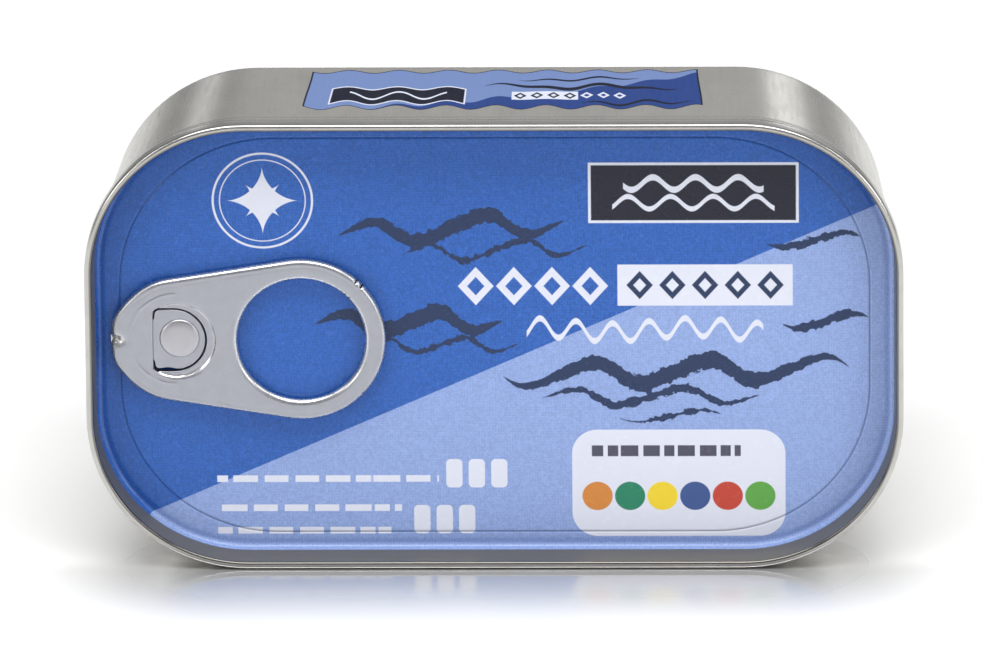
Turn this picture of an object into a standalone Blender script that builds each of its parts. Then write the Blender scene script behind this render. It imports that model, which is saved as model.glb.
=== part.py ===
"""A shallow food can with round corners and a ring-pull lid, standing on one of its long narrow sides.

The can is drawn in its own frame: X along its length, Y from the lid back to the closed end, and Z across its
width, with the front of the rim at Y = 0. An empty then leans it back until it rests on the seam and on the far
edge of its tapered wall, as such a can does on a table.
"""

from math import atan, cos, pi, sin, sqrt, tan

import bmesh
import bpy
from mathutils import Vector

# Driving dimensions, in metres
LENGTH = 0.105
WIDTH = 0.0605
DEPTH = 0.0322
CORNER = 0.0206

SEAM_DEPTH = 0.0028
SEAM_WIDTH = 0.0010
SEAM_PROUD = 0.0008
SEAM_LAND_START = 0.0017
SEAM_LAND_END = 0.0024

BACK_INSET = 0.0025
BACK_CORNER = 0.0191
BACK_LAND_START = 0.0296
BACK_LAND_END = 0.0304
BACK_RIM = 0.0030
BACK_PANEL_SINK = 0.0007

PANEL_SINK = 0.0049
GROOVE_SINK = 0.0053
CHUCK_DRAFT = 0.00025
GROOVE_WIDTH = 0.0011
LID_BACK = 0.0057
CLEARANCE = 0.0003

TAB_THICKNESS = 0.0015
TAB_EDGE = 0.00045
RING_CENTRE_X = -0.02485
RING_RADIUS = 0.0109
HOLE_RADIUS = 0.00835
NOSE_CENTRE_X = -0.0407
NOSE_RADIUS = 0.0084
WINDOW_STRAIGHT_X = -0.0438
WINDOW_CENTRE_X = -0.0408
WINDOW_RADIUS = 0.0050
TONGUE_RADIUS = 0.0043
TONGUE_THICKNESS = 0.00055
TONGUE_ROOT_X = -0.0455
TAB_AXIS_Z = 0.0002

RIVET_X = -0.0405
POST_RADIUS = 0.0013
POST_CLEARANCE = 0.00035
HEAD_RADIUS = 0.0026
HEAD_EDGE = 0.00035
HEAD_HEIGHT = 0.00065

CORNER_STEPS = 12
ROUND_STEPS = 4
CIRCLE_STEPS = 40

# Worked out from the driving dimensions
LEAN = atan(BACK_INSET / (BACK_LAND_START - SEAM_LAND_START))
BACK_ROUND = (DEPTH - BACK_LAND_END) / (1 - sin(LEAN))
TAB_FRONT = PANEL_SINK - CLEARANCE - TAB_THICKNESS
TONGUE_BACK = PANEL_SINK - CLEARANCE - 0.00005
TONGUE_FRONT = TONGUE_BACK - TONGUE_THICKNESS
HEAD_BACK = TONGUE_FRONT - CLEARANCE


def clear_scene():
    for item in list(bpy.data.objects):
        bpy.data.objects.remove(item)


def collection(name):
    made = bpy.data.collections.new(name)
    bpy.context.scene.collection.children.link(made)
    return made


def material(name, colour, metallic, roughness):
    made = bpy.data.materials.new(name)
    made.use_nodes = True
    shader = made.node_tree.nodes["Principled BSDF"]
    shader.inputs["Base Color"].default_value = (*colour, 1.0)
    shader.inputs["Metallic"].default_value = metallic
    shader.inputs["Roughness"].default_value = roughness
    return made


def arc(centre, radius, start, end, steps):
    """Points of an arc about centre, from the start angle to the end angle, both ends included."""
    angles = (start + (end - start) * step / steps for step in range(steps + 1))
    return [(centre[0] + radius * cos(a), centre[1] + radius * sin(a)) for a in angles]


def rounded_ring(inset, depth, corner):
    """A ring of the can's outline, drawn in by inset at this depth, as points in the can's frame."""
    half_length = LENGTH / 2 - inset - corner
    half_width = WIDTH / 2 - inset - corner
    centres = [(half_length, half_width), (-half_length, half_width),
               (-half_length, -half_width), (half_length, -half_width)]
    points = []
    for quarter, centre in enumerate(centres):
        points += arc(centre, corner, quarter * pi / 2, (quarter + 1) * pi / 2, CORNER_STEPS)
    return [Vector((x, depth, z)) for x, z in points]


def lofted(name, rings, finish, home):
    """One closed solid through rings that all have the same number of points, with flat ends."""
    shape = bmesh.new()
    rows = [[shape.verts.new(point) for point in ring] for ring in rings]
    for row, following in zip(rows, rows[1:]):
        for i in range(len(row)):
            j = (i + 1) % len(row)
            shape.faces.new((row[i], row[j], following[j], following[i]))
    shape.faces.new(rows[0])
    shape.faces.new(rows[-1])
    bmesh.ops.recalc_face_normals(shape, faces=shape.faces)
    mesh = bpy.data.meshes.new(name)
    shape.to_mesh(mesh)
    shape.free()
    mesh.materials.append(finish)
    return placed(bpy.data.objects.new(name, mesh), home)


def placed(item, home):
    home.objects.link(item)
    if item.type == "MESH":
        item.data.shade_smooth()
        item.data.set_sharp_from_angle(angle=0.6)
    return item


def flat_plate(name, outlines, front, back, finish, home):
    """A plate between two depths, cut from a filled flat curve whose inner outlines are holes."""
    curve = bpy.data.curves.new(name + "_outline", "CURVE")
    curve.dimensions = "2D"
    curve.fill_mode = "BOTH"
    curve.extrude = (back - front) / 2
    for outline in outlines:
        spline = curve.splines.new("POLY")
        spline.points.add(len(outline) - 1)
        for point, (x, z) in zip(spline.points, outline):
            point.co = (x, z, 0.0, 1.0)
        spline.use_cyclic_u = True
    guide = bpy.data.objects.new(name + "_outline", curve)
    bpy.context.scene.collection.objects.link(guide)
    graph = bpy.context.evaluated_depsgraph_get()
    mesh = bpy.data.meshes.new_from_object(guide.evaluated_get(graph))
    bpy.data.objects.remove(guide)

    shape = bmesh.new()
    shape.from_mesh(mesh)
    bmesh.ops.remove_doubles(shape, verts=shape.verts, dist=1e-6)
    middle = (front + back) / 2
    for vertex in shape.verts:
        x, z, lift = vertex.co
        vertex.co = (x, middle - lift, z)
    bmesh.ops.recalc_face_normals(shape, faces=shape.faces)
    shape.to_mesh(mesh)
    shape.free()
    mesh.name = name
    mesh.materials.clear()
    mesh.materials.append(finish)
    return placed(bpy.data.objects.new(name, mesh), home)


def turned(name, profile, home):
    """A turned shape about Z, from a profile of (radius, height) points that runs from top to bottom."""
    mesh = bpy.data.meshes.new(name)
    points = [(radius, 0.0, height) for radius, height in profile]
    mesh.from_pydata(points, [(i, i + 1) for i in range(len(points) - 1)], [])
    item = bpy.data.objects.new(name, mesh)
    home.objects.link(item)
    screw = item.modifiers.new("turn", "SCREW")
    screw.steps = screw.render_steps = CIRCLE_STEPS
    screw.use_merge_vertices = True
    screw.merge_threshold = 1e-6
    return item


def joined(item, other):
    """Fuses other into item, which stays one solid, and hides other."""
    union = item.modifiers.new("join_" + other.name, "BOOLEAN")
    union.operation = "UNION"
    union.solver = "EXACT"
    union.object = other
    other.hide_render = True
    other.display_type = "WIRE"


def wall_inset(depth):
    """The taper of the drawn wall, from behind the seam to its far edge."""
    share = (depth - SEAM_DEPTH) / (BACK_LAND_START - SEAM_DEPTH)
    return SEAM_PROUD + (BACK_INSET - SEAM_PROUD) * share


def wall_corner(depth):
    share = (depth - SEAM_DEPTH) / (BACK_LAND_START - SEAM_DEPTH)
    return CORNER - SEAM_PROUD + (BACK_CORNER - CORNER + SEAM_PROUD) * share


def body_profile():
    """(inset, depth, corner) of each ring of the drawn can, from under the lid to the closed end."""
    top = LID_BACK + CLEARANCE
    edge = top + CLEARANCE
    land_end = BACK_INSET + (BACK_LAND_END - BACK_LAND_START) * tan(LEAN)
    rings = [(wall_inset(top) + CLEARANCE, top, wall_corner(top) - CLEARANCE)]
    for depth in (edge, BACK_LAND_START):
        rings.append((wall_inset(depth), depth, wall_corner(depth)))
    centre = (BACK_LAND_END - BACK_ROUND * sin(LEAN), land_end + BACK_ROUND * cos(LEAN))
    for depth, inset in arc(centre, BACK_ROUND, LEAN - pi / 2, 0.0, ROUND_STEPS):
        rings.append((inset, depth, BACK_CORNER - (inset - BACK_INSET)))
    for inset, depth in ((BACK_RIM, DEPTH), (BACK_RIM + BACK_PANEL_SINK, DEPTH - BACK_PANEL_SINK)):
        inset += centre[1]
        rings.append((inset, depth, BACK_CORNER - (inset - BACK_INSET)))
    return rings


def lid_profile():
    """(inset, depth, corner) of each ring of the lid, from its back, out over the seam and into the panel."""
    half = SEAM_WIDTH / 2
    land_rise = (SEAM_LAND_END - SEAM_LAND_START) * tan(LEAN)
    points = [
        (wall_inset(LID_BACK) + CLEARANCE, LID_BACK),
        (wall_inset(LID_BACK - CLEARANCE), LID_BACK - CLEARANCE),
        (wall_inset(SEAM_DEPTH), SEAM_DEPTH + 0.0001),
        (land_rise + SEAM_DEPTH - SEAM_LAND_END, SEAM_DEPTH),
        (land_rise, SEAM_LAND_END),
        (0.0, SEAM_LAND_START),
    ]
    points += [(half + x, half + y) for x, y in arc((0.0, 0.0), half, pi, 2 * pi, 2 * ROUND_STEPS)]
    chuck_foot = SEAM_WIDTH + CHUCK_DRAFT
    points += [
        (chuck_foot, PANEL_SINK - 0.0002),
        (chuck_foot + GROOVE_WIDTH * 0.15, GROOVE_SINK - 0.0001),
        (chuck_foot + GROOVE_WIDTH * 0.35, GROOVE_SINK),
        (chuck_foot + GROOVE_WIDTH * 0.65, GROOVE_SINK),
        (chuck_foot + GROOVE_WIDTH, PANEL_SINK),
    ]
    return [(inset, depth, CORNER - inset) for inset, depth in points]


def stand_point(profiles):
    """Where the leaning can's frame goes, so that it stands on Z = 0, centred on the origin."""
    reach = []
    for inset, depth, _ in profiles:
        for side in (-1, 1):
            reach.append(depth * cos(LEAN) + side * (WIDTH / 2 - inset) * sin(LEAN))
    lift = SEAM_LAND_START * sin(LEAN) + WIDTH / 2 * cos(LEAN)
    return Vector((0.0, -(min(reach) + max(reach)) / 2, lift))


def make_body(finish, home):
    rings = [rounded_ring(*ring) for ring in body_profile()]
    return lofted("can_body", rings, finish, home)


def make_rivet(home):
    """The rivet that is drawn up out of the lid: a post through the tongue and a low round head."""
    dome = HEAD_EDGE * 1.2
    rise = (dome * dome + HEAD_RADIUS * HEAD_RADIUS) / (2 * dome)
    top = HEAD_HEIGHT
    profile = [(0.0, top)]
    for step in range(1, ROUND_STEPS + 1):
        radius = HEAD_RADIUS * step / ROUND_STEPS
        profile.append((radius, top - rise + sqrt(rise * rise - radius * radius)))
    foot = HEAD_BACK - PANEL_SINK - 0.0004
    profile += [(HEAD_RADIUS, 0.0), (POST_RADIUS, 0.0), (POST_RADIUS, foot), (0.0, foot)]
    rivet = turned("rivet_blank", profile, home)
    rivet.location = (RIVET_X, HEAD_BACK, TAB_AXIS_Z)
    rivet.rotation_euler = (pi / 2, 0.0, 0.0)
    return rivet


def make_lid(finish, home, helpers):
    rings = [rounded_ring(*ring) for ring in lid_profile()]
    lid = lofted("can_lid", rings, finish, home)
    rivet = make_rivet(helpers)
    joined(lid, rivet)
    return lid, rivet


def tab_outline():
    """Round the ring end and the nose, and straight along the two common tangents."""
    spread = RING_CENTRE_X - NOSE_CENTRE_X
    tangent = pi / 2 + atan((RING_RADIUS - NOSE_RADIUS) / sqrt(spread**2 - (RING_RADIUS - NOSE_RADIUS) ** 2))
    ring_end = arc((RING_CENTRE_X, TAB_AXIS_Z), RING_RADIUS, -tangent, tangent, CIRCLE_STEPS)
    nose = arc((NOSE_CENTRE_X, TAB_AXIS_Z), NOSE_RADIUS, tangent, 2 * pi - tangent, CIRCLE_STEPS // 2)
    return ring_end + nose


def bow(centre_x, radius, straight_x):
    """A round outline cut off by a straight side at straight_x."""
    reach = pi / 2 + atan((centre_x - straight_x) / sqrt(radius**2 - (centre_x - straight_x) ** 2))
    return arc((centre_x, TAB_AXIS_Z), radius, -reach, reach, CIRCLE_STEPS // 2)


def full_circle(centre_x, radius, steps):
    return arc((centre_x, TAB_AXIS_Z), radius, 0.0, 2 * pi * (1 - 1 / steps), steps - 1)


def make_tab(finish, home, helpers):
    """The curled tab with its finger hole, and the tongue in its window that the rivet holds."""
    holes = [full_circle(RING_CENTRE_X, HOLE_RADIUS, CIRCLE_STEPS),
             bow(WINDOW_CENTRE_X, WINDOW_RADIUS, WINDOW_STRAIGHT_X)]
    tab = flat_plate("pull_tab", [tab_outline(), *holes], TAB_FRONT, TAB_FRONT + TAB_THICKNESS, finish, home)
    rounding = tab.modifiers.new("curl", "BEVEL")
    rounding.width = TAB_EDGE
    rounding.segments = 2
    rounding.limit_method = "ANGLE"
    rounding.angle_limit = 1.0

    root = [(TONGUE_ROOT_X, TAB_AXIS_Z - 0.0035), (TONGUE_ROOT_X, TAB_AXIS_Z + 0.0035)]
    tongue_outline = bow(WINDOW_CENTRE_X, TONGUE_RADIUS, WINDOW_STRAIGHT_X + 0.0005) + root[::-1]
    rivet_hole = full_circle(RIVET_X, POST_RADIUS + POST_CLEARANCE, CIRCLE_STEPS // 2)
    tongue = flat_plate("tongue_blank", [tongue_outline, rivet_hole], TONGUE_FRONT, TONGUE_BACK,
                        finish, helpers)
    joined(tab, tongue)
    return tab, tongue


def main():
    clear_scene()
    home = collection("ring_pull_can")
    helpers = collection("blanks")
    metal = material("can_metal", (0.60, 0.59, 0.57), 1.0, 0.35)
    print_blue = material("lid_print", (0.055, 0.13, 0.40), 0.3, 0.38)
    tab_metal = material("tab_metal", (0.62, 0.63, 0.66), 1.0, 0.30)

    stand = bpy.data.objects.new("stand", None)
    home.objects.link(stand)
    stand.rotation_euler = (-LEAN, 0.0, 0.0)
    stand.location = stand_point(body_profile() + lid_profile())
    pieces = [make_body(metal, home), *make_lid(print_blue, home, helpers), *make_tab(tab_metal, home, helpers)]
    for piece in pieces:
        piece.parent = stand


main()
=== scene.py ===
"""The looks of a small round-cornered fish can with a ring-pull lid.

Shapes are drawn in millimetres in the can's own frame: X along its length, Y from the lid back to the
closed end, Z across its width, and the front of the rim at Y = 0. One matrix then leans the can back
onto its seam, as the CAD solids lie, and turns millimetres into metres.
"""

from math import atan, atan2, cos, exp, hypot, pi, radians, sin, sqrt, tan

import bmesh
import bpy
from mathutils import Matrix, Vector


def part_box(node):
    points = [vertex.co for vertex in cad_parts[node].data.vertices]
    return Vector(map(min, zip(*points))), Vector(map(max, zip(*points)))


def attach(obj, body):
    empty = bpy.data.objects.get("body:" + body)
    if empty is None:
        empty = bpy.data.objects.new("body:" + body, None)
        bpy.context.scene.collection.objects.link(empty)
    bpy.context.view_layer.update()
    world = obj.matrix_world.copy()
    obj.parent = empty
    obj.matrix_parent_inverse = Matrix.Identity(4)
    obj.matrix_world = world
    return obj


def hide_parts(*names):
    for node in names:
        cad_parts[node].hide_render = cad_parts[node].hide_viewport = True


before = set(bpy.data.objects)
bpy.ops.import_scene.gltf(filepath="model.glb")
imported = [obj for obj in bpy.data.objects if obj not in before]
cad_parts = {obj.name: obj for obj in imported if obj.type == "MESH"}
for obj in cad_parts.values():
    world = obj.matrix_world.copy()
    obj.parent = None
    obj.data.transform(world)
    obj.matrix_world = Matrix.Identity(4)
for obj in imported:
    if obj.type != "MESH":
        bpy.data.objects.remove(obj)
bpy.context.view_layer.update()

# The can's driving dimensions, in millimetres, as in the CAD
LENGTH = 105.0
WIDTH = 60.5
DEPTH = 32.2
CORNER = 20.6
SEAM_DEPTH = 2.8
SEAM_WIDTH = 1.0
SEAM_PROUD = 0.8
SEAM_LAND_START = 1.7
SEAM_LAND_END = 2.4
BACK_INSET = 2.5
BACK_CORNER = 19.1
BACK_LAND_START = 29.6
BACK_LAND_END = 30.4
BACK_RIM = 3.0
BACK_PANEL_SINK = 0.7
BACK_STEP_SINK = 0.38
PANEL_SINK = 4.9
CHUCK_FOOT = 1.25

# The angle at which the can leans, and the round of its far edge
LEAN = atan(BACK_INSET / (BACK_LAND_START - SEAM_LAND_START))
BACK_ROUND = (DEPTH - BACK_LAND_END) / (1 - sin(LEAN))
BACK_TURN_INSET = BACK_INSET + (BACK_LAND_END - BACK_LAND_START) * tan(LEAN) + BACK_ROUND * cos(LEAN)

# The score line, a rounded rectangle on the panel
SCORE_HALF_LENGTH = 48.2
SCORE_HALF_WIDTH = 26.9
SCORE_CORNER = 20.0
SCORE_WIDTH = 0.22
SCORE_DEEP = 0.09

# Where the print ends on the chuck wall
PRINT_START = 4.0
PRINT_INSET = 1.2

# Shallow flutes of the long walls, which also draw the printed band into waves
FLUTE_PITCH = 6.42
FLUTE_PHASE = -22.2
FLUTE_DEEP = 0.12
FLUTE_REACH = 27.0
FLUTE_START = (5.0, 11.0)
FLUTE_END = (24.0, 29.0)

# The tab, with its window, the ledge pressed round the window, the bead round that and the edge's nicks
TAB_FRONT = 3.1
TAB_THICK = 1.5
TAB_AXIS = -0.05
RING_X = -24.85
RING_RADIUS = 10.9
HOLE_RADIUS = 8.2
NOSE_X = -40.7
NOSE_RADIUS = 8.4
NOSE_BLUNT = 0.20
NOSE_SHOULDER = 0.24
RIM_ROLL = 0.64
HOLE_ROLL = 0.80
WINDOW_X = -41.3
WINDOW_RADIUS = 4.3
WINDOW_STRAIGHT = -43.9
LEDGE_X = -40.9
LEDGE_RADIUS = 5.0
LEDGE_SINK = 0.34
BEAD_RADIUS = 6.1
BEAD_HEIGHT = 0.07
NOTCH = (-49.0, 0.1)
NOTCH_DEEP = 0.6
NICKS = (0.748, 0.836)
NICK_DEEP_TOP = 0.8
NICK_DEEP_FOOT = 0.2
NICK_SPREAD = 0.012
TONGUE_SLOT = 0.17
TAB_SPLIT_X = -34.4
RIVET_X = -40.5
RIVET_Z = 0.2
RIVET_RADIUS = 2.6

# How the photograph's camera stands to the can
VIEW_UP = 19.7
VIEW_RIGHT = 1.34
VIEW_ROLL = -0.56
VIEW_DISTANCE = 2000.0
PHOTO_WIDTH = 984
PHOTO_HEIGHT = 652
FOCAL_PIXELS = 15594.5
CENTRE_PIXEL = (494.13, 348.15)
SENSOR = 36.0


def stand_matrix():
    """The can's frame to the row frame, with the closed end where the CAD body ends."""
    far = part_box("can_body")[1].y * 1000
    reach = DEPTH * cos(LEAN) + (WIDTH / 2 - BACK_TURN_INSET) * sin(LEAN)
    lift = SEAM_LAND_START * sin(LEAN) + WIDTH / 2 * cos(LEAN)
    place = Matrix.Translation(Vector((0.0, far - reach, lift)) / 1000)
    return place @ Matrix.Rotation(-LEAN, 4, "X") @ Matrix.Scale(0.001, 4)


CAN_TO_ROW = stand_matrix()

# Points nearer to each other than this, in millimetres, are merged
SAME_POINT = 1e-4


# Meshes

def arc(centre, radius, start, end, steps):
    """Points of an arc, from the start angle to the end angle, both ends included."""
    angles = (start + (end - start) * step / steps for step in range(steps + 1))
    return [(centre[0] + radius * cos(a), centre[1] + radius * sin(a)) for a in angles]


def linked(name, data):
    """A new object in the scene that shows the data."""
    item = bpy.data.objects.new(name, data)
    bpy.context.scene.collection.objects.link(item)
    return item


def finished(name, points, faces, finish, sharp=35.0):
    """A piece from its points and faces; edges that turn by more than sharp degrees stay crisp."""
    mesh = bpy.data.meshes.new(name)
    mesh.from_pydata(points, [], faces)
    mesh.materials.append(finish)
    return placed(linked(name, mesh), sharp)


def placed(item, sharp):
    """Puts an object's mesh in the row frame, with its faces outwards and shaded smooth."""
    mesh = item.data
    shape = bmesh.new()
    shape.from_mesh(mesh)
    bmesh.ops.remove_doubles(shape, verts=shape.verts, dist=SAME_POINT)
    bmesh.ops.recalc_face_normals(shape, faces=shape.faces)
    shape.transform(CAN_TO_ROW)
    shape.to_mesh(mesh)
    shape.free()
    mesh.shade_smooth()
    mesh.set_sharp_from_angle(angle=radians(sharp))
    return item


# How finely the can's outline is divided
CORNER_STEPS = 24
LONG_STEPS = 120
SHORT_STEPS = 12


def oblong(half_length, half_width, corner, depth, long_steps=LONG_STEPS, short_steps=SHORT_STEPS):
    """A rounded rectangle at one depth, from the foot of its right side round, its sides divided evenly."""
    x, z = half_length - corner, half_width - corner
    points = []
    quarters = [((x, z), (0.0, -1.0), short_steps, z), ((-x, z), (1.0, 0.0), long_steps, x),
                ((-x, -z), (0.0, 1.0), short_steps, z), ((x, -z), (-1.0, 0.0), long_steps, x)]
    for quarter, (centre, back, steps, half) in enumerate(quarters):
        start = quarter * pi / 2
        first = (centre[0] + corner * cos(start), centre[1] + corner * sin(start))
        for step in range(steps, 0, -1):
            run = 2 * half * step / steps
            points.append((first[0] + back[0] * run, first[1] + back[1] * run))
        points += arc(centre, corner, start, start + pi / 2, CORNER_STEPS)[:-1]
    return [(px, depth, pz) for px, pz in points]


def inset_ring(inset, depth, corner=None, **steps):
    """The can's outline drawn in by an inset, at one depth."""
    corner = CORNER - inset if corner is None else corner
    return oblong(LENGTH / 2 - inset, WIDTH / 2 - inset, corner, depth, **steps)


def strips(rings):
    """Points and faces of a sheet through rings of equal length."""
    count = len(rings[0])
    points = [point for ring in rings for point in ring]
    faces = []
    for row in range(len(rings) - 1):
        here = row * count
        there = here + count
        for i in range(count):
            j = (i + 1) % count
            faces.append((here + i, here + j, there + j, there + i))
    return points, faces


def capped(rings):
    """The same sheet with its first and last ring filled."""
    points, faces = strips(rings)
    count = len(rings[0])
    faces.append(tuple(range(count)))
    faces.append(tuple(range(len(points) - count, len(points))))
    return points, faces


def smooth_share(value, low, high):
    """0 at low and 1 at high, eased between them."""
    share = min(max((value - low) / (high - low), 0.0), 1.0)
    return share * share * (3 - 2 * share)


def wall_share(depth):
    """How far along the tapered wall a depth lies, 0 at the seam and 1 at the far edge."""
    return (depth - SEAM_DEPTH) / (BACK_LAND_START - SEAM_DEPTH)


def wall_inset(depth):
    """How far the wall lies inside the can's outline at a depth."""
    return SEAM_PROUD + (BACK_INSET - SEAM_PROUD) * wall_share(depth)


def wall_corner(depth):
    """The radius of the wall's corners at a depth."""
    return CORNER - SEAM_PROUD + (BACK_CORNER - CORNER + SEAM_PROUD) * wall_share(depth)


def fluted(ring):
    """The ring with its two long sides drawn in by the shallow flutes, which fade towards both ends."""
    made = []
    for x, depth, z in ring:
        along = 1 - smooth_share(abs(x), FLUTE_REACH - 4, FLUTE_REACH + 3)
        across = smooth_share(depth, *FLUTE_START) * (1 - smooth_share(depth, *FLUTE_END))
        wave = 0.5 - 0.5 * cos(2 * pi * (x - FLUTE_PHASE) / FLUTE_PITCH)
        side = 1 if z > 0 else -1
        made.append((x, depth, z - side * FLUTE_DEEP * along * across * wave))
    return made


def sweep_tree():
    """Geometry nodes that sweep a closed section once round a rounded rectangle.

    Returns the tree and the identifiers of its named inputs.
    """
    tree = bpy.data.node_groups.new("sweep_round", "GeometryNodeTree")
    tree.interface.new_socket("Section", in_out="INPUT", socket_type="NodeSocketGeometry")
    inputs = {}
    kinds = {"Length": "Float", "Width": "Float", "Corner": "Float", "Corner Steps": "Int",
             "Finish": "Material"}
    for label, kind in kinds.items():
        socket = tree.interface.new_socket(label, in_out="INPUT", socket_type="NodeSocket" + kind)
        inputs[label] = socket.identifier
    tree.interface.new_socket("Ring", in_out="OUTPUT", socket_type="NodeSocketGeometry")
    net = Net(tree)
    start = tree.nodes.new("NodeGroupInput")
    given = {socket.name: Signal(net, socket) for socket in start.outputs}
    path = net.add("GeometryNodeCurvePrimitiveQuadrilateral", {"mode": "RECTANGLE"},
                   {"Width": given["Length"], "Height": given["Width"]})
    path = net.add("GeometryNodeFilletCurve", {"mode": "POLY"},
                   {"Curve": path, "Radius": given["Corner"], "Count": given["Corner Steps"]})
    path = net.add("GeometryNodeSetCurveNormal", {"mode": "Z_UP"}, {"Curve": path})
    section = net.add("GeometryNodeMeshToCurve", {}, {"Mesh": given["Section"]})
    ring = net.add("GeometryNodeCurveToMesh", {}, {"Curve": path, "Profile Curve": section})
    ring = net.add("GeometryNodeTransform", {}, {"Geometry": ring, "Rotation": (pi / 2, 0.0, 0.0)})
    ring = net.add("GeometryNodeRealizeInstances", {}, {"Geometry": ring})
    ring = net.add("GeometryNodeSetMaterial", {}, {"Geometry": ring, "Material": given["Finish"]})
    end = tree.nodes.new("NodeGroupOutput")
    tree.links.new(ring.socket, end.inputs["Ring"])
    return tree, inputs


def swept_round(name, section, finish, sharp):
    """A closed ring from a section of (inset, depth) points that follows the can's outline."""
    mesh = bpy.data.meshes.new(name)
    count = len(section)
    points = [(-inset, depth, 0.0) for inset, depth in section]
    mesh.from_pydata(points, [(i, (i + 1) % count) for i in range(count)], [])
    item = linked(name, mesh)
    tree, inputs = sweep_tree()
    modifier = item.modifiers.new("sweep", "NODES")
    modifier.node_group = tree
    values = {"Length": LENGTH, "Width": WIDTH, "Corner": CORNER, "Corner Steps": CORNER_STEPS,
              "Finish": finish}
    for label, value in values.items():
        modifier[inputs[label]] = value
    ready = item.evaluated_get(bpy.context.evaluated_depsgraph_get())
    swept = bpy.data.meshes.new_from_object(ready)
    item.modifiers.clear()
    item.data = swept
    return placed(item, sharp)


def drawn_body(finish):
    """The drawn can, from behind the lid along the tapered wall and round the far edge to the end panel."""
    start = SEAM_DEPTH - 0.5
    tucked_in = wall_inset(SEAM_DEPTH) + 0.2
    rings = [inset_ring(tucked_in, depth) for depth in (PANEL_SINK + 1.4, start)]
    wall_rows = 26
    for row in range(wall_rows + 1):
        depth = start + (BACK_LAND_START - start) * row / wall_rows
        rings.append(fluted(inset_ring(wall_inset(depth), depth, wall_corner(depth))))
    centre = (BACK_LAND_END - BACK_ROUND * sin(LEAN), BACK_TURN_INSET)
    end = [(inset, depth) for depth, inset in arc(centre, BACK_ROUND, LEAN - pi / 2, 0.0, 8)]
    end_profile = [(-0.3, 0.0), (0.0, 0.06), (0.35, 0.35), (0.7, 0.64), (1.0, BACK_PANEL_SINK),
                   (3.4, BACK_PANEL_SINK), (3.8, 0.6), (4.3, 0.42), (4.9, BACK_STEP_SINK),
                   (5.2, BACK_STEP_SINK), (10.0, BACK_STEP_SINK)]
    end += [(BACK_TURN_INSET + BACK_RIM + more, DEPTH - sink) for more, sink in end_profile]
    for inset, depth in end:
        rings.append(inset_ring(inset, depth, BACK_CORNER - (inset - BACK_INSET)))
    return finished("drawn_body", *capped(rings), finish, sharp=60.0)


def seam_ring(finish):
    """The double seam and the chuck wall, one closed ring of bare metal."""
    rise = (SEAM_LAND_END - SEAM_LAND_START) * tan(LEAN)
    round_out, round_in = 0.42, 0.36
    width = 0.93
    profile = [(0.0, SEAM_LAND_START), (0.0, 1.1), (0.0, 0.7)]
    profile += arc((round_out, round_out), round_out, pi, 3 * pi / 2, 8)
    profile += arc((width - round_in, round_in), round_in, 3 * pi / 2, 2 * pi, 8)
    profile += [(width + 0.02, 0.7), (width + 0.06, 1.2), (SEAM_WIDTH + 0.12, 2.4),
                (PRINT_INSET, PRINT_START), (PRINT_INSET + 0.02, PRINT_START + 0.4),
                (CHUCK_FOOT - 0.3, PANEL_SINK + 0.3), (SEAM_PROUD + 0.25, SEAM_DEPTH),
                (SEAM_PROUD, SEAM_DEPTH), (rise + 0.42, SEAM_DEPTH), (rise + 0.2, SEAM_DEPTH - 0.06),
                (rise + 0.05, SEAM_LAND_END + 0.18), (rise, SEAM_LAND_END)]
    return swept_round("seam_ring", profile, finish, sharp=50.0)


def lid_panel(finish):
    """The printed panel: the foot of the chuck wall, the groove, the score line and the flat middle."""
    plain = {"long_steps": 24, "short_steps": 4}
    back = PANEL_SINK + 0.9
    edge = [(12.0, back), (CHUCK_FOOT + 0.2, back), (PRINT_INSET + 0.08, PANEL_SINK),
            (PRINT_INSET, PRINT_START)]
    groove = [(0.0, -0.45), (0.04, -0.27), (0.11, -0.12), (0.20, -0.01), (0.31, 0.07), (0.43, 0.12),
              (0.54, 0.135), (0.65, 0.125), (0.85, 0.08), (1.05, 0.035), (1.2, 0.01), (1.35, 0.0), (1.6, 0.0)]
    edge += [(CHUCK_FOOT + past, PANEL_SINK + deep) for past, deep in groove]
    rings = [inset_ring(inset, depth, **plain) for inset, depth in edge]
    half = SCORE_WIDTH / 2
    score = [(half + 0.2, 0.0), (half, 0.0), (half * 0.3, SCORE_DEEP), (-half * 0.3, SCORE_DEEP),
             (-half, 0.0), (-half - 0.2, 0.0), (-half - 8.0, 0.0)]
    for out, deep in score:
        rings.append(oblong(SCORE_HALF_LENGTH + out, SCORE_HALF_WIDTH + out, SCORE_CORNER + out,
                            PANEL_SINK + deep, **plain))
    return finished("lid_panel", *capped(rings), finish, sharp=50.0)


def turned_disc(name, profile, x, z, finish, steps=64):
    """A turned piece whose axis runs along Y, from (radius, depth) points, with both ends filled."""
    turns = [2 * pi * step / steps for step in range(steps)]
    rings = []
    for radius, depth in profile:
        rings.append([(x + radius * cos(turn), depth, z + radius * sin(turn)) for turn in turns])
    return finished(name, *capped(rings), finish)


def lid_rivet(finish):
    """The rivet's flattened head, its waist and the skirt where it rises out of the panel."""
    top = TAB_FRONT + 0.02
    profile = [(0.6, top), (1.5, top + 0.01), (2.2, top + 0.06), (2.42, top + 0.13), (2.56, top + 0.26),
               (RIVET_RADIUS, top + 0.42), (2.55, top + 0.6), (2.3, top + 0.68), (1.3, top + 0.7),
               (1.3, PANEL_SINK - 0.2), (1.6, PANEL_SINK + 0.1)]
    return turned_disc("lid_rivet", profile, RIVET_X, RIVET_Z, finish)


# The tab, drawn from its outline and its distances to the outline, the hole and the window

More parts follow.
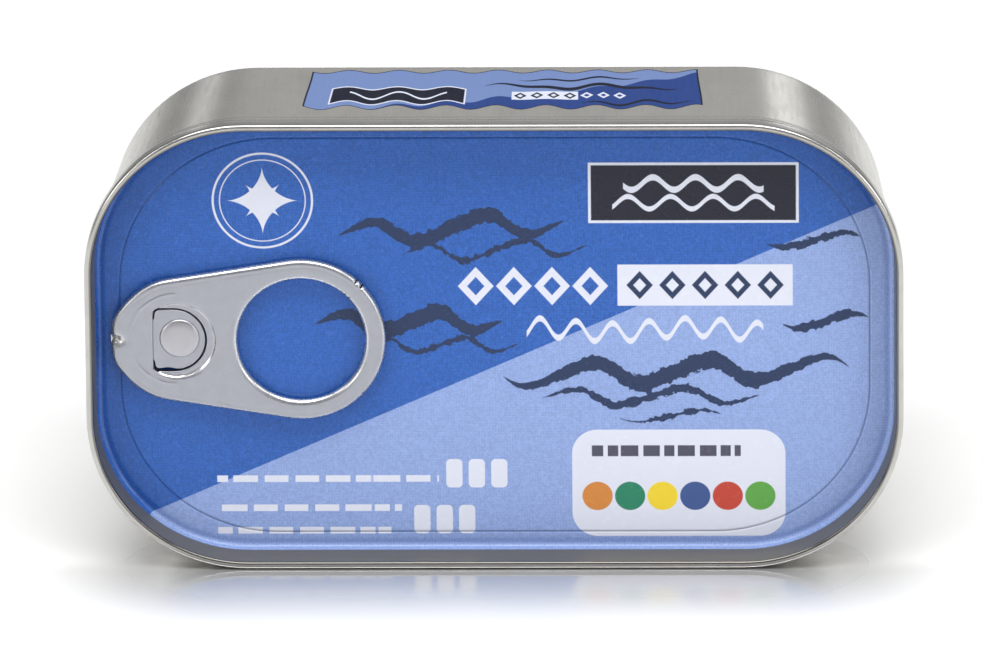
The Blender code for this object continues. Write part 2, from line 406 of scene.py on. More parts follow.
def tab_lean():
    """The angle between the tab's axis and its straight sides, which touch the ring and the nose."""
    spread, step = RING_X - NOSE_X, RING_RADIUS - NOSE_RADIUS
    return atan(step / sqrt(spread * spread - step * step))


def nose_radius(sine):
    """The nose's radius by the sine of the angle from the tab's axis, drawn out into a blunt end."""
    blunt = NOSE_BLUNT * (1 - smooth_share(sine, 0.3, 0.85))
    return NOSE_RADIUS + blunt + NOSE_SHOULDER * hill(sine, 0.31, 0.18)


def inside_outline(x, z):
    """How far a point lies inside the tab's outline: the ring's circle, the nose and two straight sides."""
    lean = tab_lean()
    along, off = RING_X - x, abs(z - TAB_AXIS)
    past_ring = along * cos(lean) - off * sin(lean)
    if past_ring < 0:
        return RING_RADIUS - hypot(along, off)
    if past_ring > (RING_X - NOSE_X) * cos(lean):
        out = hypot(x - NOSE_X, off)
        return nose_radius(off / out) - out
    return RING_RADIUS - along * sin(lean) - off * cos(lean)


def outside_hole(x, z):
    """How far a point lies outside the finger hole."""
    return hypot(x - RING_X, z - TAB_AXIS) - HOLE_RADIUS


def window_radius(angle):
    """The window's radius about its middle: a half circle, and a straight side with eased corners."""
    if cos(angle) >= 0.0:
        return WINDOW_RADIUS
    crisp = 9
    across, up = cos(angle) / (WINDOW_STRAIGHT - WINDOW_X), abs(sin(angle)) / WINDOW_RADIUS
    return (across**crisp + up**crisp) ** (-1 / crisp)


def outside_window(x, z):
    """How far a point lies outside the window."""
    angle = atan2(z - TAB_AXIS, x - WINDOW_X)
    return hypot(x - WINDOW_X, z - TAB_AXIS) - window_radius(angle)


def outside_ledge(x, z):
    """How far a point lies outside the pressed ledge, a circle cut off along the window's straight side."""
    return max(hypot(x - LEDGE_X, z - TAB_AXIS) - LEDGE_RADIUS, WINDOW_STRAIGHT - x)


def rolled(distance, run, drop):
    """The drop of a rolled edge at a distance in from it: a quarter ellipse, run wide and drop deep."""
    if distance >= run:
        return 0.0
    share = 1 - max(distance, 0.0) / run
    return drop * (1 - sqrt(max(1 - share * share, 0.0)))


def hill(value, middle, spread):
    """1 at the middle, falling softly to 0 on both sides."""
    return exp(-(((value - middle) / spread) ** 2))


def tab_depth(x, z, half):
    """How far the tab's front lies behind its highest plane."""
    rim, hole, ledge = inside_outline(x, z), outside_hole(x, z), outside_ledge(x, z)
    deep = rolled(rim, RIM_ROLL, half) + rolled(hole, HOLE_ROLL, half)
    deep += 0.03 * hill(rim, 0.92, 0.12) + 0.02 * hill(hole, 0.94, 0.1)
    deep += LEDGE_SINK * (1 - smooth_share(ledge, -0.14, 0.11)) + rolled(outside_window(x, z), 0.12, 0.12)
    bead = hypot(x - LEDGE_X, z - RIVET_Z) - BEAD_RADIUS
    deep -= BEAD_HEIGHT * hill(bead, 0.0, 0.10) * (1 - smooth_share(x, LEDGE_X - 0.6, LEDGE_X + 0.6))
    deep += NOTCH_DEEP * hill(x, NOTCH[0], 1.0) * hill(z, NOTCH[1], 0.6)
    turn = atan2(abs(z - TAB_AXIS), x - RING_X)
    nick_deep = NICK_DEEP_TOP if z > 0 else NICK_DEEP_FOOT
    for nick in NICKS:
        deep += nick_deep * hill(turn, nick, NICK_SPREAD) * (1 - smooth_share(rim, 0.3, 0.55))
    return min(deep, half)


def evenly(points, gap):
    """The same path with a point about every gap."""
    made = []
    for (x, z), (far_x, far_z) in zip(points, points[1:]):
        steps = max(1, round(hypot(far_x - x, far_z - z) / gap))
        made += [(x + (far_x - x) * i / steps, z + (far_z - z) * i / steps) for i in range(steps)]
    return made + [points[-1]]


def tab_half(centre, inner_radius, outer, gap=0.13):
    """Rings of (x, z) from an inner edge about a centre to a closed outer path, close at both edges."""
    near = (0.0, 0.03, 0.07, 0.13, 0.21, 0.31, 0.43, 0.56, 0.70, 0.86, 1.1)
    shares = 14
    rays = []
    for x, z in evenly(outer, gap)[:-1]:
        angle = atan2(z - centre[1], x - centre[0])
        inner, far = inner_radius(angle), hypot(x - centre[0], z - centre[1])
        squeeze = min(1.0, (far - inner) * 0.45 / near[-1])
        low, high = inner + near[-1] * squeeze, far - near[-1] * squeeze
        stops = [inner + step * squeeze for step in near]
        stops += [low + (high - low) * share / shares for share in range(1, shares)]
        stops += [far - step * squeeze for step in reversed(near)]
        rays.append([(centre[0] + at * cos(angle), centre[1] + at * sin(angle)) for at in stops])
    return list(zip(*rays))


def nose_end(turn):
    """The tab's blunt end, from its upper straight side round to its lower one."""
    path = []
    for x, z in arc((NOSE_X, TAB_AXIS), NOSE_RADIUS, turn, 2 * pi - turn, 90):
        growth = nose_radius(abs(z - TAB_AXIS) / NOSE_RADIUS) / NOSE_RADIUS
        path.append((NOSE_X + (x - NOSE_X) * growth, TAB_AXIS + (z - TAB_AXIS) * growth))
    return path


def tab_sheet(rings, side):
    """Half the tab's front (side -1) or back (side 1); the back takes half of the low relief."""
    half = TAB_THICK / 2
    sheet = []
    for ring in rings:
        row = []
        for x, z in ring:
            deep = tab_depth(x, z, half)
            if side > 0 and deep <= 0.3:
                deep *= 0.5
            row.append((x, TAB_FRONT + half + side * (half - deep), z))
        sheet.append(row)
    return strips(sheet)


def pull_tab(finish):
    """The stamped tab with rolled edges: a ring half and a nose half, each a front and a back sheet."""
    lean = tab_lean()
    turn = pi / 2 + lean
    top = RING_RADIUS / cos(lean) - (RING_X - TAB_SPLIT_X) * tan(lean)
    split_top, split_foot = (TAB_SPLIT_X, TAB_AXIS + top), (TAB_SPLIT_X, TAB_AXIS - top)
    ring_end = arc((RING_X, TAB_AXIS), RING_RADIUS, -turn, turn, 150)
    ring_path = [split_foot, *ring_end, split_top, split_foot]
    nose_path = [split_top, *nose_end(turn), split_foot, split_top]
    halves = [tab_half((RING_X, TAB_AXIS), lambda angle: HOLE_RADIUS, ring_path),
              tab_half((WINDOW_X, TAB_AXIS), window_radius, nose_path)]
    points, faces = [], []
    for rings in halves:
        for side in (-1, 1):
            more, sides = tab_sheet(rings, side)
            faces += [tuple(i + len(points) for i in face) for face in sides]
            points += more
    return finished("pull_tab_curled", points, faces, finish, sharp=70.0)


def tab_tongue(finish):
    """The tongue that fills the window under the rivet's head, all but a thin slot round it."""
    front, back = TAB_FRONT + LEDGE_SINK + 0.05, TAB_FRONT + TAB_THICK - 0.02
    path = []
    steps = 160
    for step in range(steps):
        angle = 2 * pi * step / steps
        root = smooth_share(-cos(angle), 0.62, 0.75)
        slot = TONGUE_SLOT + 0.34 * hill(angle, 4.5, 0.3)
        reach = window_radius(angle) - slot * (1 - root) + 0.3 * root
        path.append((WINDOW_X + reach * cos(angle), TAB_AXIS + reach * sin(angle)))
    rings = []
    for inward, depth in ((0.0, back), (0.0, front + 0.14), (0.03, front + 0.06), (0.1, front), (0.6, front)):
        ring = []
        for x, z in path:
            share = 1 - inward / hypot(x - WINDOW_X, z - TAB_AXIS)
            ring.append((WINDOW_X + (x - WINDOW_X) * share, depth, TAB_AXIS + (z - TAB_AXIS) * share))
        rings.append(ring)
    return finished("tab_tongue", *capped(rings), finish, sharp=40.0)


# Materials

class Signal:
    """A number carried by a link; the operators add Math nodes to its net."""

    def __init__(self, net, socket):
        self.net, self.socket = net, socket

    def maths(self, operation, *others):
        return self.net.add("ShaderNodeMath", {"operation": operation}, (self, *others))

    def __add__(self, other):
        return self.maths("ADD", other)

    def __sub__(self, other):
        return self.maths("SUBTRACT", other)

    def __rsub__(self, other):
        return self.net.add("ShaderNodeMath", {"operation": "SUBTRACT"}, (other, self))

    def __mul__(self, other):
        return self.maths("MULTIPLY", other)

    def __truediv__(self, other):
        return self.maths("DIVIDE", other)

    def __neg__(self):
        return self.maths("MULTIPLY", -1.0)

    __radd__ = __add__
    __rmul__ = __mul__

    def size(self):
        return self.maths("ABSOLUTE")

    def least(self, other):
        return self.maths("MINIMUM", other)

    def most(self, other):
        return self.maths("MAXIMUM", other)

    def power(self, other):
        return self.maths("POWER", other)

    def root(self):
        return self.maths("SQRT")

    def sine(self):
        return self.maths("SINE")

    def arctangent(self):
        return self.maths("ARCTANGENT")

    def ramp(self, low, high, to_low=0.0, to_high=1.0):
        """Eased from to_low at low to to_high at high."""
        return self.net.add("ShaderNodeMapRange", {"interpolation_type": "SMOOTHSTEP"},
                            {"Value": self, "From Min": low, "From Max": high,
                             "To Min": to_low, "To Max": to_high})


class Net:
    """A node tree and the ways of adding to it."""

    def __init__(self, tree):
        self.tree = tree

    def add(self, kind, settings, values, output=0):
        """Adds a node, its settings first and then the values or links of its sockets."""
        node = self.tree.nodes.new(kind)
        for key, value in settings.items():
            setattr(node, key, value)
        pairs = values.items() if isinstance(values, dict) else enumerate(values)
        for key, value in pairs:
            if isinstance(value, Signal):
                self.tree.links.new(value.socket, node.inputs[key])
            else:
                node.inputs[key].default_value = value
        return Signal(self, node.outputs[output])

    def set(self, node, **sockets):
        """Sets or links a node's sockets, named with underscores for spaces."""
        for name, value in sockets.items():
            socket = self.tree.nodes[node].inputs[name.replace("_", " ")]
            if isinstance(value, Signal):
                self.tree.links.new(value.socket, socket)
            else:
                socket.default_value = value


class Finish(Net):
    """The nodes of one material, read in the can's own frame in millimetres."""

    def __init__(self, name):
        self.material = bpy.data.materials.new(name)
        self.material.use_nodes = True
        super().__init__(self.material.node_tree)
        to_can = CAN_TO_ROW.inverted()
        place = self.add("ShaderNodeTexCoord", {}, (), "Object")
        self.place = self.add("ShaderNodeMapping", {},
                              {"Vector": place, "Location": to_can.translation,
                               "Rotation": (LEAN, 0.0, 0.0), "Scale": (1000.0,) * 3})
        axes = [self.add("ShaderNodeSeparateXYZ", {}, (self.place,), axis) for axis in "XYZ"]
        self.x, self.depth, self.z = axes

    def mix(self, under, over, mask):
        """Colour over laid on colour under by a mask."""
        return self.add("ShaderNodeMix", {"data_type": "RGBA"}, {0: mask, 6: under, 7: over}, 2)

    def shade(self, under, amount):
        """The colour made darker or lighter by a factor."""
        return self.add("ShaderNodeVectorMath", {"operation": "SCALE"}, {0: under, "Scale": amount})

    def noise(self, scale, detail=2.0, stretch=(1.0, 1.0, 1.0)):
        """Noise of so many waves to a millimetre, drawn out along an axis by stretch."""
        place = self.add("ShaderNodeVectorMath", {"operation": "MULTIPLY"}, (self.place, stretch))
        return self.add("ShaderNodeTexNoise", {}, {"Vector": place, "Scale": scale, "Detail": detail})

    def bump(self, height, distance):
        """A normal tilted by a height; distance is in millimetres."""
        return self.add("ShaderNodeBump", {},
                        {"Strength": 1.0, "Distance": distance / 1000, "Height": height}, "Normal")

    def done(self, **sockets):
        """The material, once its shader's sockets are set."""
        self.set("Principled BSDF", **sockets)
        return self.material


def colour(red, green, blue):
    """A display colour, 0 to 255 each, as the shader's linear value."""
    parts = [part / 255 for part in (red, green, blue)]
    linear = [part / 12.92 if part <= 0.04045 else ((part + 0.055) / 1.055) ** 2.4 for part in parts]
    return (*linear, 1.0)


# How soft a printed edge is, in millimetres
EDGE_SOFT = 0.06


def within(distance, soft=EDGE_SOFT):
    """A mask that is 1 where a signed distance is negative."""
    return distance.ramp(soft, -soft)


def block(x, z, centre, half, corner=0.1):
    """Signed distance to a rounded rectangle."""
    across = ((x - centre[0]).size() - (half[0] - corner))
    up = ((z - centre[1]).size() - (half[1] - corner))
    outside = (across.most(0.0).power(2.0) + up.most(0.0).power(2.0)).root()
    return outside + across.most(up).least(0.0) - corner


def disc(x, z, centre, radius):
    """Signed distance to a circle."""
    return ((x - centre[0]).power(2.0) + (z - centre[1]).power(2.0)).root() - radius


def wave_stroke(x, z, start, end, height, waves, thick, rag):
    """Signed distance to a brushed line of leaning waves, tapered at both ends."""
    run = (end[0] - start[0], end[1] - start[1])
    middle = ((start[0] + end[0]) / 2, (start[1] + end[1]) / 2)
    along = (x - middle[0]) * (2 / run[0])
    phase = along * (pi * waves)
    swing = (phase - phase.sine() * 0.35).sine()
    centre = (x - middle[0]) * (run[1] / run[0]) + swing * height + middle[1]
    width = (1 - along * along).most(0.0).power(0.7) * (thick + rag)
    return ((z - centre).size() - width).most((along.size() - 1) * (run[0] / 2))


def open_diamonds(net, ink, tone, centres, reach, thick):
    """Lays a row of open diamonds over the ink, each so thick and with its points so far out."""
    for centre in centres:
        outer = (net.x - centre[0]).size() * 0.85 + (net.z - centre[1]).size() * 0.75 - reach
        ink = net.mix(ink, tone, within(outer.most(-(outer + thick)), 0.08))
    return ink


# The printed band on the upper wall; a stroke has its start, end, wave height, waves and thickness
BAND_X = 1.1
BAND_HALF_LENGTH = 25.65
BAND_NEAR = 10.95
BAND_FAR = 28.5
BAND_STROKES = (((-1.5, 21.4), (24.0, 20.6), 1.0, 2.0, 0.75), ((3.0, 24.8), (19.0, 24.6), 0.7, 1.0, 0.4),
                ((11.0, 13.4), (25.5, 13.0), 0.6, 1.0, 0.5))
BAND_CHAIN = (3.3, 16.8)
BAND_CHAIN_STEP = 2.15
BAND_SIGN = (-12.55, 16.95)
BAND_LIGHT = colour(112, 133, 182)
BAND_DEEP = colour(38, 64, 128)
BAND_NAVY = colour(20, 24, 42)
BAND_WHITE = colour(214, 219, 234)


def band_print(net, base):
    """Lays the band's colours over the bare wall; returns the colour and the mask of the print."""
    swell = net.depth.ramp(BAND_NEAR, BAND_FAR, 1.26, 0.75)
    wave = ((net.x - FLUTE_PHASE) * (2 * pi / FLUTE_PITCH) + pi / 2).sine()
    across = net.depth + swell * wave
    calm = net.depth + swell * wave * 0.35
    x = (net.x - BAND_X) * across.ramp(BAND_NEAR - 3, BAND_FAR + 3, 0.995, 1.03) + BAND_X
    rise = x * (x * 0.00415 + 0.33) + 15.4
    ink = net.mix(BAND_LIGHT, BAND_DEEP, within(across - rise, 0.12))
    for start, end, height, waves, thick in BAND_STROKES:
        stroke = wave_stroke(x, across, start, end, height, waves, thick, 0.0)
        ink = net.mix(ink, BAND_NAVY, within(stroke, 0.1))
    ink = net.mix(ink, BAND_WHITE, within(block(x, calm, (6.5, BAND_CHAIN[1]), (4.3, 1.9))))
    for step in range(7):
        middle = BAND_CHAIN[0] + step * BAND_CHAIN_STEP
        diamond = (x - middle).size() + (calm - BAND_CHAIN[1]).size() * 0.55
        tone = BAND_NAVY if step < 4 else BAND_WHITE
        ink = net.mix(ink, tone, within((diamond - 0.62).size() - 0.22))
    ink = net.mix(ink, BAND_WHITE, within(block(x, across, BAND_SIGN, (8.8, 3.75))))
    ink = net.mix(ink, BAND_NAVY, within(block(x, across, BAND_SIGN, (8.6, 3.3))))
    line = (across - BAND_SIGN[1] - (x * 0.9).sine() * 0.9).size() - 0.36
    ink = net.mix(ink, BAND_WHITE, within(line.most((x - BAND_SIGN[0]).size() - 6.3)))
    middle = (BAND_X, (BAND_FAR + BAND_NEAR) / 2)
    half = (BAND_FAR - BAND_NEAR) / 2
    inner = block(x, across, middle, (BAND_HALF_LENGTH - 0.24, half - 0.3))
    ink = net.mix(BAND_NAVY, ink, within(inner))
    mask = within(block(x, across, middle, (BAND_HALF_LENGTH, half))) * (net.z - WIDTH / 4).ramp(-0.5, 0.5)
    return net.mix(base, ink, mask), mask


# Bare metals, as linear colours; the chuck's darker tone is painted shade and the edges' lighter tone a
# painted highlight
WALL_TONE = (0.60, 0.585, 0.54)
SEAM_TONE = (0.50, 0.49, 0.47)
# Painted shade: the darker tone of the seam's inner side and the chuck wall
CHUCK_SHADE_TONE = (0.18, 0.172, 0.156, 1.0)
TAB_TONE = (0.395, 0.405, 0.445, 1.0)
RIVET_TONE = (0.465, 0.46, 0.49, 1.0)
# Painted highlight: the lighter tone of the tab's rolled edges
EDGE_HIGHLIGHT_TONE = (0.64, 0.64, 0.65, 1.0)


def wall_metal():
    """Bright drawn metal, with fine grain along the can's depth, faint clouds and the printed band."""
    net = Finish("wall_metal")
    grain = net.noise(1.6, 3.0, stretch=(1.0, 0.05, 1.0))
    clouds = net.noise(0.12)
    shade = grain.ramp(0.3, 0.7, 0.985, 1.015) * clouds.ramp(0.3, 0.7, 0.96, 1.03)
    shown, mask = band_print(net, net.shade(WALL_TONE, shade))
    roughness = grain.ramp(0.3, 0.7, 0.23, 0.28) + mask * 0.25
    return net.done(Base_Color=shown, Metallic=1.0 - mask * 0.94, Roughness=roughness, IOR=1.16,
                    Normal=net.bump(grain, 0.0004))


def seam_metal():
    """Bright metal on the rounded seam, duller down the chuck wall, with painted shade in a darker tone on
    its inner side and the chuck wall.
    """
    net = Finish("seam_metal")
    shade = net.noise(0.35).ramp(0.3, 0.7, 0.94, 1.04)
    outline = block(net.x, net.z, (0.0, 0.0), (LENGTH / 2, WIDTH / 2), CORNER)
    inner = outline.ramp(-0.5, -0.7)
    chuck = net.depth.ramp(0.2, 0.5) * inner
    # Painted shade: the inner side of the rim and the chuck wall take a darker tone
    shown = net.mix(net.shade(SEAM_TONE, shade), CHUCK_SHADE_TONE, inner)
    return net.done(Base_Color=shown, Metallic=1.0 - chuck * 0.5,
                    Roughness=chuck.ramp(0.0, 1.0, 0.20, 0.42))


def tab_metal():
    """Satin stamped metal; lighter and glossier on the rolled edges, a painted highlight, lighter on the
    rivet, and with painted shade in the nicks.
    """
    net = Finish("tab_metal")
    specks = net.noise(4.0)
    shade = net.noise(0.7, 4.0).ramp(0.3, 0.7, 0.97, 1.02) * specks.ramp(0.3, 0.7, 0.98, 1.02)
    rivet = within(disc(net.x, net.z, (RIVET_X, RIVET_Z), RIVET_RADIUS - 0.1))
    base = net.shade(net.mix(TAB_TONE, RIVET_TONE, rivet), shade)
    ledge = disc(net.x, net.z, (LEDGE_X, TAB_AXIS), LEDGE_RADIUS - 0.15).ramp(0.05, -0.05)
    edges = net.depth.ramp(TAB_FRONT + 0.03, TAB_FRONT + 0.16) * (1 - ledge)
    # Painted highlight: the rolled edges take a lighter tone
    shown = net.mix(base, EDGE_HIGHLIGHT_TONE, edges)
    # Painted shade in the two nicks of the rolled edge, darkening the edge's tone there
    turn = ((net.z - TAB_AXIS) / (net.x - RING_X)).arctangent()
    gap = (turn - NICKS[0]).size().least((turn - NICKS[1]).size()) * RING_RADIUS
    nicks = within(gap - 0.12, 0.04) * (net.x - RING_X).ramp(0.0, 1.0) * net.z.ramp(0.0, 1.0)
    return net.done(Base_Color=net.shade(shown, 1 - nicks * edges * 0.92), Metallic=1.0,
                    Roughness=specks.ramp(0.3, 0.7, 0.32, 0.40) - edges * 0.08,
                    Normal=net.bump(specks, 0.004))


# The lid's print: centres and half sizes of its blocks, and its strokes as on the band
LID_LIGHT = colour(141, 163, 213)
LID_DEEP = colour(48, 95, 175)
LID_WHITE = colour(217, 220, 233)
LID_NAVY = colour(39, 55, 89)
SIGN_INK = colour(32, 34, 48)
LABEL_INK = colour(78, 78, 96)
SCORE_LINE_TONE = colour(52, 60, 92)
SPLIT_SLOPE = 0.4468
SPLIT_RISE = -4.25
DOT_PITCH = 0.36
STAR = (-29.65, 18.4)
STAR_RADIUS = 6.5
SIGN = (25.6, 19.35)
SIGN_HALF = (13.5, 4.1)
CHAIN = (-2.4, 6.7)
CHAIN_STEP = 4.9
PLAQUE = (27.05, 6.8)
PLAQUE_HALF = (11.25, 2.8)
PLAQUE_STEP = 4.2
LABEL = (23.55, -20.25)
LABEL_HALF = (13.75, 7.3)
LABEL_STEP = 4.2
SPOTS = ((206, 132, 60), (38, 128, 96), (234, 205, 48), (60, 84, 140), (190, 68, 52), (92, 160, 70))
DASH_ROWS = ((-19.6, -36.0, -7.4), (-23.6, -36.0, -12.2), (-26.7, -36.0, -13.6))
BAR_ROWS = ((-18.9, -5.4), (-25.2, -9.6))
SEA_STROKES = (((-20.0, 13.6), (9.0, 15.6), 1.5, 2.0, 1.15), ((-12.0, 10.9), (12.0, 12.3), 1.2, 2.0, 0.45),
               ((-23.0, 1.6), (1.0, 2.0), 1.3, 2.0, 1.3), ((-17.0, -1.4), (3.0, -1.2), 1.0, 2.0, 0.5),
               ((1.0, -5.6), (45.5, -4.4), 1.5, 3.0, 1.25), ((6.0, -8.6), (34.0, -8.2), 1.1, 2.0, 0.6),
               ((16.0, -11.4), (29.0, -10.8), 0.6, 1.0, 0.4), ((37.0, 1.4), (48.0, 2.4), 0.7, 1.0, 0.7),
               ((35.0, 12.4), (47.0, 13.4), 0.7, 1.0, 0.6))


def star_print(net, ink):
    """A star of four long and four short points in two white rings."""
    ring = disc(net.x, net.z, STAR, STAR_RADIUS)
    ink = net.mix(ink, LID_WHITE, within((ring + 0.13).size() - 0.14))
    across, up = (net.x - STAR[0]).size(), (net.z - STAR[1]).size()
    hollow = 0.6
    long_points = across.power(hollow) + up.power(hollow) - 4.6**hollow
    half_root = sqrt(0.5)
    turned_x, turned_z = (across + up) * half_root, (across - up).size() * half_root
    short_points = turned_x.power(hollow) + turned_z.power(hollow) - 3.1**hollow
    ink = net.mix(ink, LID_WHITE, within(long_points.least(short_points), 0.04))
    inner = disc(net.x, net.z, STAR, 5.5)
    return net.mix(ink, LID_WHITE, within(inner.size() - 0.07))


def sign_print(net, ink):
    """A dark sign in a white line, with two waves across it."""
    sign = block(net.x, net.z, SIGN, SIGN_HALF)
    ink = net.mix(ink, LID_WHITE, within(sign))
    ink = net.mix(ink, SIGN_INK, within(sign + 0.36))
    for rise, reach, thick in ((1.25, 9.0, 0.42), (-1.35, 10.4, 0.34)):
        swell = ((net.x - SIGN[0]) * 1.15 + rise).sine() * 0.85
        line = (net.z - (SIGN[1] + rise) - swell).size() - thick
        ink = net.mix(ink, LID_WHITE, within(line.most((net.x - SIGN[0]).size() - reach)))
    return ink


def chain_print(net, ink):
    """Four white diamonds, a white plaque with five navy ones, and a flowing white line under them."""
    centres = [(CHAIN[0] + CHAIN_STEP * step, CHAIN[1]) for step in range(4)]
    ink = open_diamonds(net, ink, LID_WHITE, centres, 1.95, 1.0)
    ink = net.mix(ink, LID_WHITE, within(block(net.x, net.z, PLAQUE, PLAQUE_HALF)))
    centres = [(PLAQUE[0] + PLAQUE_STEP * (step - 2), PLAQUE[1]) for step in range(5)]
    ink = open_diamonds(net, ink, LID_NAVY, centres, 1.45, 0.75)
    swell = (net.x * 1.35).sine() * 1.25 + (net.x * 0.31).sine() * 0.35
    line = (net.z - 0.7 - swell).size() - 0.42
    return net.mix(ink, LID_WHITE, within(line.most((net.x - 19.3).size() - 15.2), 0.1))


def dash_print(net, ink):
    """Three rows of short bars, and larger upright bars at the ends of two of them."""
    for middle, left, right in DASH_ROWS:
        beat = (net.x * 1.7 + middle).sine() + (net.x * 3.1 + middle * 2).sine() * 0.8
        dashes = beat.ramp(-0.95, -0.75)
        row = block(net.x, net.z, ((left + right) / 2, middle), ((right - left) / 2, 0.45))
        ink = net.mix(ink, LID_WHITE, within(row) * dashes)
    for middle, left in BAR_ROWS:
        for step in range(3):
            bar = block(net.x, net.z, (left + 2.9 * step, middle), (1.05, 1.95), 0.6)
            ink = net.mix(ink, LID_WHITE, within(bar))
    return ink


def label_print(net, ink):
    """A white label with a grey line and a row of printer's colour spots."""
    panel = block(net.x, net.z, LABEL, LABEL_HALF, 3.3)
    ink = net.mix(ink, LID_WHITE, within(panel))
    beat = ((net.x * 2.6).sine() + (net.x * 4.3).sine() * 0.7).ramp(-0.9, -0.7)
    row = block(net.x, net.z, (LABEL[0] - 1.6, LABEL[1] + 4.4), (9.6, 0.75))
    ink = net.mix(ink, LABEL_INK, within(row) * beat)
    for step, spot in enumerate(SPOTS):
        centre = (LABEL[0] + LABEL_STEP * (step - 2.5), LABEL[1] - 1.8)
        ink = net.mix(ink, colour(*spot), within(disc(net.x, net.z, centre, 1.95)))
    return ink


def sea_print(net, ink, rag):
    """Navy brush strokes of a long swell, with ragged edges."""
    for start, end, height, waves, thick in SEA_STROKES:
        stroke = wave_stroke(net.x, net.z, start, end, height, waves, thick, rag)
        ink = net.mix(ink, LID_NAVY, within(stroke, 0.08))
    return ink


def lid_print():
    """Two blues in a satin lacquer with the fine dots of its printing, the shapes on them, the score, and
    painted shade outside the score line.
    """
    net = Finish("lid_print")
    turn = pi / DOT_PITCH
    screen = ((net.x + net.z) * turn).sine() * ((net.x - net.z) * turn).sine()
    dots = net.noise(3.6, 1.0) + screen * 0.12
    fibres = net.noise(1.1, 4.0)
    split = net.z - (net.x * SPLIT_SLOPE + SPLIT_RISE)
    ink = net.mix(LID_LIGHT, LID_DEEP, split.ramp(-EDGE_SOFT, EDGE_SOFT))
    dots = (dots.ramp(0.30, 0.70) - 0.5) * split.ramp(-EDGE_SOFT, EDGE_SOFT, 0.18, 0.32)
    ink = net.shade(ink, dots + 1)
    ink = sea_print(net, ink, fibres.ramp(0.36, 0.64, -0.26, 0.2))
    ink = star_print(net, ink)
    ink = sign_print(net, ink)
    ink = chain_print(net, ink)
    ink = dash_print(net, ink)
    ink = label_print(net, ink)
    score = block(net.x, net.z, (0.0, 0.0), (SCORE_HALF_LENGTH, SCORE_HALF_WIDTH), SCORE_CORNER)
    # The score line is drawn in a darker tone
    ink = net.mix(ink, SCORE_LINE_TONE, within(score.size() - 0.07) * 0.5)
    # Painted shadow of the rim: the panel outside the score line is drawn a little darker
    ink = net.shade(ink, 1 - score.ramp(-0.1, 0.1) * 0.04)
    outline = block(net.x, net.z, (0.0, 0.0), (LENGTH / 2, WIDTH / 2), CORNER)
    groove = outline.ramp(-CHUCK_FOOT - 0.85, -CHUCK_FOOT - 0.55, 0.0, 0.5)
    return net.done(Base_Color=ink, Metallic=0.0, Roughness=fibres.ramp(0.3, 0.7, 0.22, 0.28),
                    IOR=1.36, Coat_Weight=groove, Coat_Roughness=0.06)


# The floor, and half the length of the strip of the seam that touches it
FLOOR_TONE = (0.97, 0.97, 0.965)
CONTACT_HALF = 34.0


def floor_finish():
    """A white sheet that mirrors the can just in front of it, with a painted shadow where they touch and
    painted shade far behind.
    """
    net = Finish("floor")
    aside = (net.x.size() - CONTACT_HALF).most(0.0) * 0.7
    away = ((net.depth - SEAM_LAND_START).power(2.0) + aside.power(2.0)).root()
    # Painted shadow on the floor where it meets the can, in front of the seam
    painted_contact_shadow = away.ramp(0.0, 28.0, 0.36, 0.0) * net.depth.ramp(4.0, -0.5)
    # Painted shade: the floor darkens far behind the can
    shade = net.depth.ramp(220.0, 420.0, 1.0, 0.36) * (1 - painted_contact_shadow)
    mirror = away.ramp(0.0, 20.0, 0.66, 0.0) * net.depth.ramp(6.0, 2.0)
    return net.done(Base_Color=net.shade(FLOOR_TONE, shade), Metallic=mirror,
                    Roughness=away.ramp(0.0, 20.0, 0.06, 0.5), IOR=1.4)


# The photographer's set

def make_floor():
    """A flat sheet under the can, 8 metres wide."""
    half = 4.0
    corners = [(-half, -half, 0), (half, -half, 0), (half, half, 0), (-half, half, 0)]
    mesh = bpy.data.meshes.new("floor")
    mesh.from_pydata(corners, [], [(0, 1, 2, 3)])
    mesh.materials.append(floor_finish())
    floor = linked("floor", mesh)


def soft_light(name, place, size, radiance):
    """A rectangular light that faces the can; its size is (across, up) in metres."""
    data = bpy.data.lights.new(name, "AREA")
    data.shape = "RECTANGLE"
    data.size, data.size_y = size
    data.energy = radiance * pi * size[0] * size[1]
    lamp = linked(name, data)
    lamp.location = place
    lamp.rotation_euler = (Vector((0, 0, 0.03)) - Vector(place)).to_track_quat("-Z", "Y").to_euler()
    lamp.visible_camera = False


def make_world():
    """A studio dome: soft at the horizon, dimmer above it, bright round its top."""
    world = bpy.data.worlds.new("studio")
    world.use_nodes = True
    net = Net(world.node_tree)
    direction = net.add("ShaderNodeTexCoord", {}, (), "Generated")
    across, height = (net.add("ShaderNodeSeparateXYZ", {}, (direction,), axis) for axis in "XZ")
    horizon = height.ramp(0.10, 0.40, 0.60, 0.34) * across.ramp(-0.13, -0.03, 0.70, 1.0)
    strength = horizon + height.ramp(0.80, 0.96, 0.0, 1.3)
    net.set("Background", Color=(0.99, 0.995, 1.0, 1.0), Strength=strength)
    bpy.context.scene.world = world
    bpy.context.scene.view_settings.view_transform = "Standard"


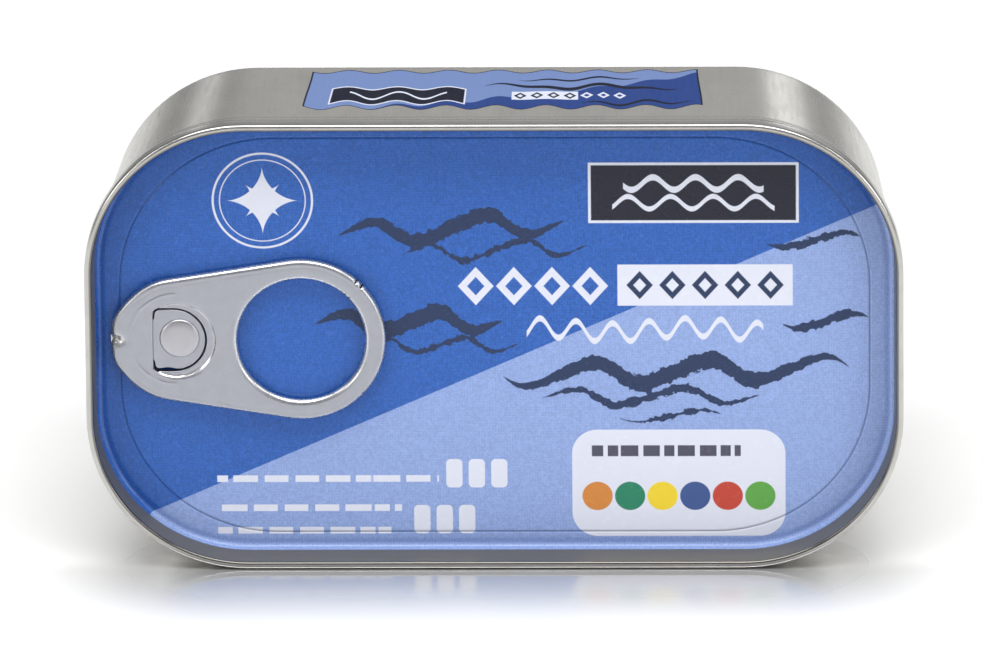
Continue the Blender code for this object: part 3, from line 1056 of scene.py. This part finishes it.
def make_lights():
    """A light over the can, two at each side in front, and a card at each side far behind it."""
    soft_light("over", (0.0, -0.17, 0.60), (0.75, 0.26), 4.5)
    for side, inner, outer, radiance in ((-1, 0.26, 0.37, 0.62), (1, 0.17, 0.33, 0.95)):
        soft_light("side", (side * 0.48, -0.42, 0.20), (0.26, 0.17), 4.2)
        soft_light("shoulder", (side * 0.50, -0.20, 0.47), (0.20, 0.16), 3.3)
        soft_light("behind", (side * (inner + outer) / 2, 1.45, 0.14), (outer - inner, 0.30), radiance)


def make_camera():
    """The photograph's long lens, fitted to the can's outline, above the lid's normal and to its right."""
    up_angle, right_angle, roll = radians(VIEW_UP), radians(VIEW_RIGHT), radians(VIEW_ROLL)
    back = Vector((sin(right_angle) * cos(up_angle), -cos(right_angle) * cos(up_angle), sin(up_angle)))
    right = (-back).cross(Vector((0, 0, 1))).normalized()
    up = right.cross(-back)
    right, up = cos(roll) * right + sin(roll) * up, cos(roll) * up - sin(roll) * right
    pixel = VIEW_DISTANCE / FOCAL_PIXELS
    aim_up = (CENTRE_PIXEL[1] - PHOTO_HEIGHT / 2) * pixel
    aim_right = (PHOTO_WIDTH / 2 - CENTRE_PIXEL[0]) * pixel
    aim = up * aim_up + right * aim_right
    turn = CAN_TO_ROW.to_3x3() * 1000
    data = bpy.data.cameras.new("camera")
    data.sensor_width = SENSOR
    data.lens = FOCAL_PIXELS * SENSOR / PHOTO_WIDTH
    data.clip_start, data.clip_end = 0.05, 12.0
    camera = linked("camera", data)
    axes = Matrix((turn @ right, turn @ up, turn @ back)).transposed()
    camera.matrix_world = Matrix.Translation(CAN_TO_ROW @ (back * VIEW_DISTANCE + aim)) @ axes.to_4x4()
    bpy.context.scene.camera = camera


def dress():
    """Makes every piece, hangs it under the root body and hides the solid it stands for."""
    seam, tab = seam_metal(), tab_metal()
    pieces = [(drawn_body(wall_metal()), "can_body", "can_metal"), (seam_ring(seam), "can_lid", "can_metal"),
              (lid_panel(lid_print()), "can_lid", "lid_print"), (lid_rivet(tab), "can_lid", "can_metal"),
              (pull_tab(tab), "pull_tab", "tab_metal"), (tab_tongue(tab), "pull_tab", "tab_metal")]
    for piece, node, slot in pieces:
        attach(piece, "root")
        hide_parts(node)


make_camera()
make_world()
make_lights()
make_floor()
dress()
